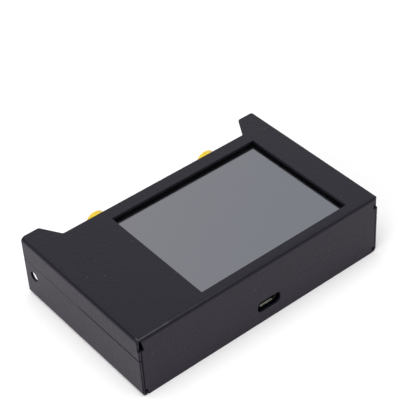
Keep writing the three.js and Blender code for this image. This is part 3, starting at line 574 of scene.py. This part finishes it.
# Keys, slide switch and status lights. They stand on the main board's rear edge: three keys in
# bright housings, a slide switch with a black knob, and two lights with clear lenses.

LENS_CLEAR = (0.80, 0.84, 0.80)
LENS_MILK = (0.66, 0.72, 0.66)
LENS_PASS = 0.35
LENS_INDEX = 1.5
LENS_COAT = 0.4


def clear_lens():
    finish = moulded("clear_lens", LENS_MILK, LENS_CLEAR, roughness=0.18)
    shader = shader_of(finish)
    shader.inputs["Transmission Weight"].default_value = LENS_PASS
    shader.inputs["IOR"].default_value = LENS_INDEX
    shader.inputs["Coat Weight"].default_value = LENS_COAT
    return finish


lens = clear_lens()
refine("power_switch_body", polished)
refine("power_switch_slider", black_plastic, ROUNDED_EDGE)
for side in ("left", "enter", "right"):
    refine(f"key_switch_{side}", polished)
    refine(f"button_{side}", black_plastic, SMALL_EDGE)
for number in (1, 2):
    refine(f"status_light_{number}", lens, FINE_EDGE)

# Antenna ports. Each is a turned brass socket, gold plated: a square body on the main board and
# a threaded barrel through the panel, with a white insulator round a slit centre contact.
# A flat washer and a six-sided nut hold it to the panel.

THREAD_PITCH = 0.0007056
THREAD_DEPTH = 0.00032
THREAD_ROWS = 8
BARREL_STEPS = 60
BARREL_RADIUS = 0.0031
BARREL_CHAMFER = 0.0004
SOCKET_RADIUS = 0.0023
SOCKET_DEEP = 0.00495
RUN_OUT = 0.0006
PORT_BODY_DEPTH = 0.0046

INSULATOR_WHITE = (0.80, 0.79, 0.76)
INSULATOR_SHADE = (0.72, 0.71, 0.68)


def ring(mesh, center, radius_at, y):
    """A ring of points round the axis through center, which runs along Y."""
    points = []
    for step in range(BARREL_STEPS):
        angle = 2 * math.pi * step / BARREL_STEPS
        radius = radius_at(angle)
        x = center[0] + radius * math.cos(angle)
        z = center[1] + radius * math.sin(angle)
        points.append(mesh.verts.new((x, y, z)))
    return points


def threaded_barrel(mesh, center, start, end):
    """A barrel with one continuous thread that fades out at both ends, bored at its far end."""

    def thread(y):
        fade = min((y - start) / RUN_OUT, (end - BARREL_CHAMFER - y) / RUN_OUT, 1)

        def radius_at(angle):
            turn = (y / THREAD_PITCH - angle / (2 * math.pi)) % 1
            return BARREL_RADIUS - THREAD_DEPTH * max(fade, 0) * abs(2 * turn - 1)

        return radius_at

    rows = int((end - BARREL_CHAMFER - start) / THREAD_PITCH * THREAD_ROWS)
    rings = []
    for row in range(rows + 1):
        y = start + (end - BARREL_CHAMFER - start) * row / rows
        rings.append(ring(mesh, center, thread(y), y))
    for radius, y in (
        (BARREL_RADIUS - BARREL_CHAMFER, end),
        (SOCKET_RADIUS, end),
        (SOCKET_RADIUS, end - SOCKET_DEEP),
    ):
        rings.append(ring(mesh, center, lambda angle, radius=radius: radius, y))
    skin(mesh, rings)


insulator_white = moulded("insulator_white", INSULATOR_SHADE, INSULATOR_WHITE, roughness=0.5)
for number in (1, 2):
    low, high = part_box(f"port_{number}")
    center = ((low.x + high.x) / 2, (low.z + high.z) / 2)
    port = bmesh.new()
    add_box(port, low, (high.x, low.y + PORT_BODY_DEPTH, high.z))
    threaded_barrel(port, center, low.y + PORT_BODY_DEPTH, high.y)
    barrel = new_piece(f"port_barrel_{number}", port, gold, "case", smooth=True)
    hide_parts(f"port_{number}")
    refine(f"port_insulator_{number}", insulator_white, FINE_EDGE)
    refine(f"port_contact_{number}", gold, HAIR_EDGE)
    refine(f"port_washer_{number}", gold, SMALL_EDGE)
    refine(f"port_nut_{number}", gold, ROUNDED_EDGE)

# Upper spacers and display board. Four more spacers carry a second laminate board, and a
# socket under it plugs into the main board's header.

for number in range(1, 5):
    refine(f"upper_spacer_{number}", steel, TURNED_EDGE)
refine("display_board", laminate)
refine("board_socket", black_plastic)

# Display. A dark panel and its white light plate lie in a pressed steel tray, and an amber flat
# cable folds down to its clamp. A thin touch panel lies on top, satin and lightly dusty, and a
# black foam gasket fills the room between its rim and the top plate.

PANEL_DARK = (0.012, 0.012, 0.014)
PANEL_GREY = (0.020, 0.021, 0.024)
AMBER = (0.36, 0.13, 0.02)
AMBER_PALE = (0.46, 0.20, 0.04)
AMBER_CLOUD = 0.002
AMBER_GLOSS = 0.3
AMBER_GLOSS_SPAN = (0.22, 0.4)
COPPER_PITCH = 0.001
WAVES_PER_SCALE = 20
FOAM_BLACK = (0.004, 0.004, 0.004)
FOAM_ROUGHNESS = 0.9
FOAM_SHINE = 0.1
FOAM_CELLS = 0.0002
FOAM_RELIEF = 0.00005
FILM_DARK = (0.003, 0.003, 0.0035)
# Reflection tints for the touch film: a painted reflection, brighter and warmer at the far left.
PAINTED_REFLECTION_WARM = (0.90, 0.92, 1.0)
PAINTED_REFLECTION_COOL = (0.80, 0.86, 0.95)
FILM_SPECK = (0.12, 0.12, 0.13)
FILM_INDEX = 2.9
FILM_FIELD = (-0.045, 0.05)
FILM_CLOUD = 0.012
FILM_GLOSS = 0.14
FILM_GLOSS_SPAN = (0.11, 0.17)
FILM_GRAIN = 0.00015
FILM_RELIEF = 0.0000008
FILM_THICKNESS = 0.0005
SPECK_SPACING = 0.011
SPECK_SIZE = 0.03
SPECK_RARITY = 0.72
GASKET_BACK = 0.0006
GASKET_SIDE = 0.0034
GASKET_EDGE = 0.0019


def amber_film():
    finish = new_finish("amber_film", AMBER, AMBER_GLOSS)
    tracks = add_node(finish, "ShaderNodeTexWave", Vector=on_piece(finish))
    tracks.bands_direction = "Y"
    tracks.inputs["Scale"].default_value = 1 / (COPPER_PITCH * WAVES_PER_SCALE)
    stripes = tint(finish, tracks.outputs["Fac"], *zip(CLOUD_REACH, (AMBER, AMBER_PALE)))
    use(finish, stripes, "Base Color")
    cloud = grain(finish, AMBER_CLOUD)
    use(finish, between(finish, cloud, *AMBER_GLOSS_SPAN), "Roughness")
    return finish


def touch_film():
    """A satin film that mirrors about a fifth of the room, with its reflection painted brighter
    and warmer to the far left.
    """
    finish = new_finish("touch_film", FILM_DARK, FILM_GLOSS)
    shader_of(finish).inputs["IOR"].default_value = FILM_INDEX
    place = add_node(finish, "ShaderNodeTexCoord")
    axes = add_node(finish, "ShaderNodeSeparateXYZ", Vector=place.outputs["Object"])
    slant = calculate(finish, "SUBTRACT", axes.outputs["X"], axes.outputs["Y"])
    across = between(finish, slant, 0, 1, *FILM_FIELD)
    # Painted reflection: the film's reflection is tinted brighter and warmer towards the far left.
    use(finish, tint(finish, across, (0.0, PAINTED_REFLECTION_WARM), (1.0, PAINTED_REFLECTION_COOL)), "Specular Tint")
    speck = specks(finish, SPECK_SPACING, SPECK_SIZE, SPECK_RARITY)
    use(finish, blend_color(finish, speck, FILM_DARK, FILM_SPECK), "Base Color")
    cloud = grain(finish, FILM_CLOUD)
    use(finish, between(finish, cloud, *FILM_GLOSS_SPAN), "Roughness")
    emboss(finish, grain(finish, FILM_GRAIN), FILM_RELIEF)
    return finish


def gasket_foam():
    finish = new_finish("gasket_foam", PANEL_DARK, FOAM_ROUGHNESS)
    shader_of(finish).inputs["Specular IOR Level"].default_value = FOAM_SHINE
    cells = grain(finish, FOAM_CELLS)
    color = tint(finish, cells, *zip(CLOUD_REACH, (FOAM_BLACK, PANEL_DARK)))
    use(finish, color, "Base Color")
    emboss(finish, cells, FOAM_RELIEF)
    return finish


panel_dark = moulded("panel_dark", PANEL_DARK, PANEL_GREY, roughness=0.2)
refine("display_tray", tin)
refine("backlight", white_plastic)
refine("display_panel", panel_dark)
refine("flat_cable", amber_film(), broken_edge=0)
refine("cable_clamp", white_plastic)

glass_low, glass_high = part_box("touch_glass")
film_level = glass_low.z + FILM_THICKNESS
film = bmesh.new()
add_box(film, glass_low, (glass_high.x, glass_high.y, film_level))
touch_panel = new_piece("touch_panel", film, touch_film(), "case")
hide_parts("touch_glass")

gasket = bmesh.new()
hole_low = (glass_low.x + GASKET_SIDE - GASKET_BACK, glass_low.y + GASKET_EDGE - GASKET_BACK)
hole_high = (glass_high.x - GASKET_SIDE + GASKET_BACK, glass_high.y - GASKET_EDGE + GASKET_BACK)
for low, high in (
    ((glass_low.x, glass_low.y), (glass_high.x, hole_low[1])),
    ((glass_low.x, hole_high[1]), (glass_high.x, glass_high.y)),
    ((glass_low.x, hole_low[1]), (hole_low[0], hole_high[1])),
    ((hole_high[0], hole_low[1]), (glass_high.x, hole_high[1])),
):
    add_box(gasket, (*low, film_level), (*high, glass_high.z))
new_piece("screen_gasket", gasket, gasket_foam(), "case")

# Port panel. A flat sheet between the ears, coated like the shells, with a hole for each thing
# that comes through it. The port nuts hold it.

refine("port_panel", coat, COATED_EDGE)

# Top shell. The plate, the full front wall and two short side flanges are folded from one blank,
# with a pointed relief in each front corner. A pale painted highlight runs along the top of the
# front bend.
# Four posts pressed into its plate take the upper spacers' studs.

# The pale line on the front bend is a painted highlight.
PAINTED_HIGHLIGHT_GREY = (0.062, 0.060, 0.064)
HIGHLIGHT_SHARES = ((0.0, 1.0), (0.11, 1.0), (0.14, 0.36), (0.3, 0.28), (0.46, 0.1))
HIGHLIGHT_REACH = (-0.052, 0.052)
HIGHLIGHT_FROM = 0.72
HIGHLIGHT_FROM_BLUR = 0.03
HIGHLIGHT_TO = 0.85
HIGHLIGHT_TO_BLUR = 0.05
HIGHLIGHT_BACK = -0.0268
HIGHLIGHT_BACK_BLUR = 0.0002
HIGHLIGHT_GRAIN = 0.0011
HIGHLIGHT_LEAST = 0.55


def painted_highlight_crease(finish):
    """1 where a painted highlight lies at the top of the front bend, most of all near its left
    end.
    """
    surface = add_node(finish, "ShaderNodeNewGeometry")
    axes = add_node(finish, "ShaderNodeSeparateXYZ", Vector=surface.outputs["Normal"])
    rise = between(finish, axes.outputs["Z"], 0, 1, HIGHLIGHT_FROM - HIGHLIGHT_FROM_BLUR, HIGHLIGHT_FROM)
    flat = between(finish, axes.outputs["Z"], 1, 0, HIGHLIGHT_TO, HIGHLIGHT_TO + HIGHLIGHT_TO_BLUR)
    place = add_node(finish, "ShaderNodeSeparateXYZ", Vector=on_piece(finish))
    behind = HIGHLIGHT_BACK + HIGHLIGHT_BACK_BLUR
    front = between(finish, place.outputs["Y"], 1, 0, HIGHLIGHT_BACK, behind)
    along = between(finish, place.outputs["X"], 0, 1, *HIGHLIGHT_REACH)
    share = tint(finish, along, *((at, (value,) * 3) for at, value in HIGHLIGHT_SHARES))
    uneven = between(finish, grain(finish, HIGHLIGHT_GRAIN), HIGHLIGHT_LEAST, 1)
    mark = rise
    for factor in (flat, front, uneven, share):
        mark = calculate(finish, "MULTIPLY", mark, factor)
    return mark


# The top shell's coat carries a painted highlight along its front bend.
painted_highlight_coat = powder_coat("painted_highlight_coat", (painted_highlight_crease, PAINTED_HIGHLIGHT_GREY))
refine("top_shell", painted_highlight_coat, COATED_EDGE)
for number in range(1, 5):
    refine(f"top_post_{number}", steel, TURNED_EDGE)

# Coat in the side seams. Towards the ears the coating bridges the gap between the two shells,
# so that the seam fades out along each side wall.

BRIDGE_START = -0.003
BRIDGE_FULL = 0.005
BRIDGE_END = 0.0364
BRIDGE_LEVELS = (0.01610, 0.01638)
BRIDGE_SET_IN = 0.00004
BRIDGE_ROOT = 0.0005


def seam_bridge(mesh, side, wall):
    """A strip in the seam of one side wall, which comes up to the wall's face as it goes back."""
    outline = (
        (wall - BRIDGE_ROOT, BRIDGE_START),
        (wall - BRIDGE_SET_IN, BRIDGE_FULL),
        (wall - BRIDGE_SET_IN, BRIDGE_END),
        (wall - 2 * BRIDGE_ROOT, BRIDGE_END),
        (wall - 2 * BRIDGE_ROOT, BRIDGE_START),
    )
    skin(mesh, [[mesh.verts.new((side * x, y, z)) for x, y in outline] for z in BRIDGE_LEVELS])


wall_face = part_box("bottom_shell")[1].x
for side_name, side in (("left", -1), ("right", 1)):
    bridge = bmesh.new()
    seam_bridge(bridge, side, wall_face)
    new_piece(f"{side_name}_seam_coat", bridge, coat, "case")

# Dust caps. Soft yellow vinyl caps, dip moulded, are pushed over the port barrels: a rounded
# closed end, a faintly waisted side and a thicker bead round the mouth.

VINYL_YELLOW = (0.86, 0.64, 0.035)
VINYL_DEEP = (0.78, 0.55, 0.02)
CAP_RADIUS = 0.0042
CAP_BEAD_RADIUS = 0.0044
CAP_BEAD = 0.001
CAP_INSIDE = 0.0034
CAP_END_WALL = 0.0011
CAP_ROUND = 0.0006
CAP_LIP = 0.0002
CAP_WAIST = 0.00006
ROUND_STEPS = 6
VINYL_GLOW = 0.25
VINYL_REACH = (0.0012, 0.0007, 0.0002)


def yellow_vinyl():
    finish = moulded("yellow_vinyl", VINYL_DEEP, VINYL_YELLOW, roughness=0.38)
    shader = shader_of(finish)
    shader.inputs["Subsurface Weight"].default_value = VINYL_GLOW
    shader.inputs["Subsurface Radius"].default_value = VINYL_REACH
    shader.inputs["Subsurface Scale"].default_value = 1.0
    return finish


def cap_profile(mouth, end):
    """The radius and the place along the axis, from the floor of the bore round to the tip."""
    floor = end - CAP_END_WALL
    bead_end = mouth + CAP_BEAD
    shoulder = end - CAP_ROUND
    middle = (bead_end + shoulder) / 2
    profile = [
        (CAP_INSIDE, floor),
        (CAP_INSIDE, mouth + CAP_LIP),
        (CAP_INSIDE + CAP_LIP, mouth),
        (CAP_BEAD_RADIUS - CAP_LIP, mouth),
        (CAP_BEAD_RADIUS, mouth + CAP_LIP),
        (CAP_BEAD_RADIUS, bead_end - CAP_LIP),
        (CAP_RADIUS, bead_end + CAP_LIP),
        (CAP_RADIUS - CAP_WAIST, middle),
    ]
    for step in range(ROUND_STEPS + 1):
        angle = math.pi / 2 * step / ROUND_STEPS
        radius = CAP_RADIUS - CAP_ROUND + CAP_ROUND * math.cos(angle)
        profile.append((radius, shoulder + CAP_ROUND * math.sin(angle)))
    return profile


vinyl = yellow_vinyl()
for number in (1, 2):
    low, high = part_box(f"dust_cap_{number}")
    center = ((low.x + high.x) / 2, (low.z + high.z) / 2)
    mesh = bmesh.new()
    rings = []
    for radius, y in cap_profile(low.y, high.y):
        rings.append(ring(mesh, center, lambda angle, radius=radius: radius, y))
    skin(mesh, rings)
    cap = new_piece(
        f"vinyl_cap_{number}", mesh, vinyl, f"dust_cap_{number}", smooth=True
    )
    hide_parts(f"dust_cap_{number}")

# Floor and light. A plain white floor under soft light from above and from the left, in a room
# that looks white to the camera and faintly rose in reflections.

FLOOR_SIZE = 3.0
FLOOR_WHITE = (0.93, 0.93, 0.93)
FLOOR_ROSE = (0.92, 0.865, 0.93)
FLOOR_ROUGHNESS = 0.9
FLOOR_LIFT = 0.1
ROOM_LIGHT = 0.55
ROOM_HUE = (1.0, 0.98, 1.0)
WHITE = (1, 1, 1)


def floor_white():
    finish = new_finish("floor_white", FLOOR_WHITE, FLOOR_ROUGHNESS)
    path = add_node(finish, "ShaderNodeLightPath")
    shader = shader_of(finish)
    shader.inputs["Specular IOR Level"].default_value = 0.0
    shader.inputs["Emission Color"].default_value = (*WHITE, 1)
    seen = path.outputs["Is Camera Ray"]
    use(finish, blend_color(finish, seen, FLOOR_ROSE, FLOOR_WHITE), "Base Color")
    lift = calculate(finish, "MULTIPLY", seen, FLOOR_LIFT)
    use(finish, lift, "Emission Strength")
    return finish


floor_mesh = bmesh.new()
bmesh.ops.create_grid(floor_mesh, x_segments=1, y_segments=1, size=FLOOR_SIZE / 2)
floor_data = bpy.data.meshes.new("floor")
floor_mesh.to_mesh(floor_data)
floor_mesh.free()
floor_data.materials.append(floor_white())
floor = bpy.data.objects.new("floor", floor_data)
bpy.context.scene.collection.objects.link(floor)

world = bpy.data.worlds.new("room")
world.use_nodes = True
bpy.context.scene.world = world
sky = world.node_tree.nodes["Background"]
path = add_node(world, "ShaderNodeLightPath")
seen = path.outputs["Is Camera Ray"]
world.node_tree.links.new(blend_color(world, seen, ROOM_HUE, WHITE), sky.inputs["Color"])
for name in ("Is Glossy Ray", "Is Transmission Ray"):
    seen = calculate(world, "MAXIMUM", seen, path.outputs[name])
strength = between(world, seen, ROOM_LIGHT, 1, 0, 1)
world.node_tree.links.new(strength, sky.inputs["Strength"])


def soft_light(name, place, size, power):
    """A square area light at place that faces the middle of the floor."""
    light = bpy.data.lights.new(name, "AREA")
    light.shape = "SQUARE"
    light.size = size
    light.energy = power
    lamp = bpy.data.objects.new(name, light)
    lamp.location = place
    aim = -Vector(place)
    lamp.rotation_euler = aim.to_track_quat("-Z", "Y").to_euler()
    lamp.visible_glossy = False
    bpy.context.scene.collection.objects.link(lamp)


soft_light("overhead", place=(-0.2, -0.1, 1.2), size=1.0, power=9.0)
soft_light("left_fill", place=(-1.1, -0.3, 0.5), size=0.8, power=5.0)

# Camera. It looks down over the left front corner through a long lens, and is turned slightly
# anticlockwise about its line of sight.

EYE = (-0.216587, -0.286192, 0.339244)
AZIMUTH = math.radians(-36.756)
ELEVATION = math.radians(40.245)
ROLL = math.radians(-3.741)
LENS = 126.71
SENSOR = 36.0
CLIP_START = 0.01

camera_data = bpy.data.cameras.new("camera")
camera_data.lens = LENS
camera_data.sensor_fit = "HORIZONTAL"
camera_data.sensor_width = SENSOR
camera_data.clip_start = CLIP_START
camera = bpy.data.objects.new("camera", camera_data)
turn = Matrix.Rotation(AZIMUTH, 4, "Z")
tilt = Matrix.Rotation(math.pi / 2 - ELEVATION, 4, "X")
roll = Matrix.Rotation(ROLL, 4, "Z")
camera.matrix_world = Matrix.Translation(EYE) @ turn @ tilt @ roll
bpy.context.scene.collection.objects.link(camera)
bpy.context.scene.camera = camera
bpy.context.scene.view_settings.view_transform = "Standard"
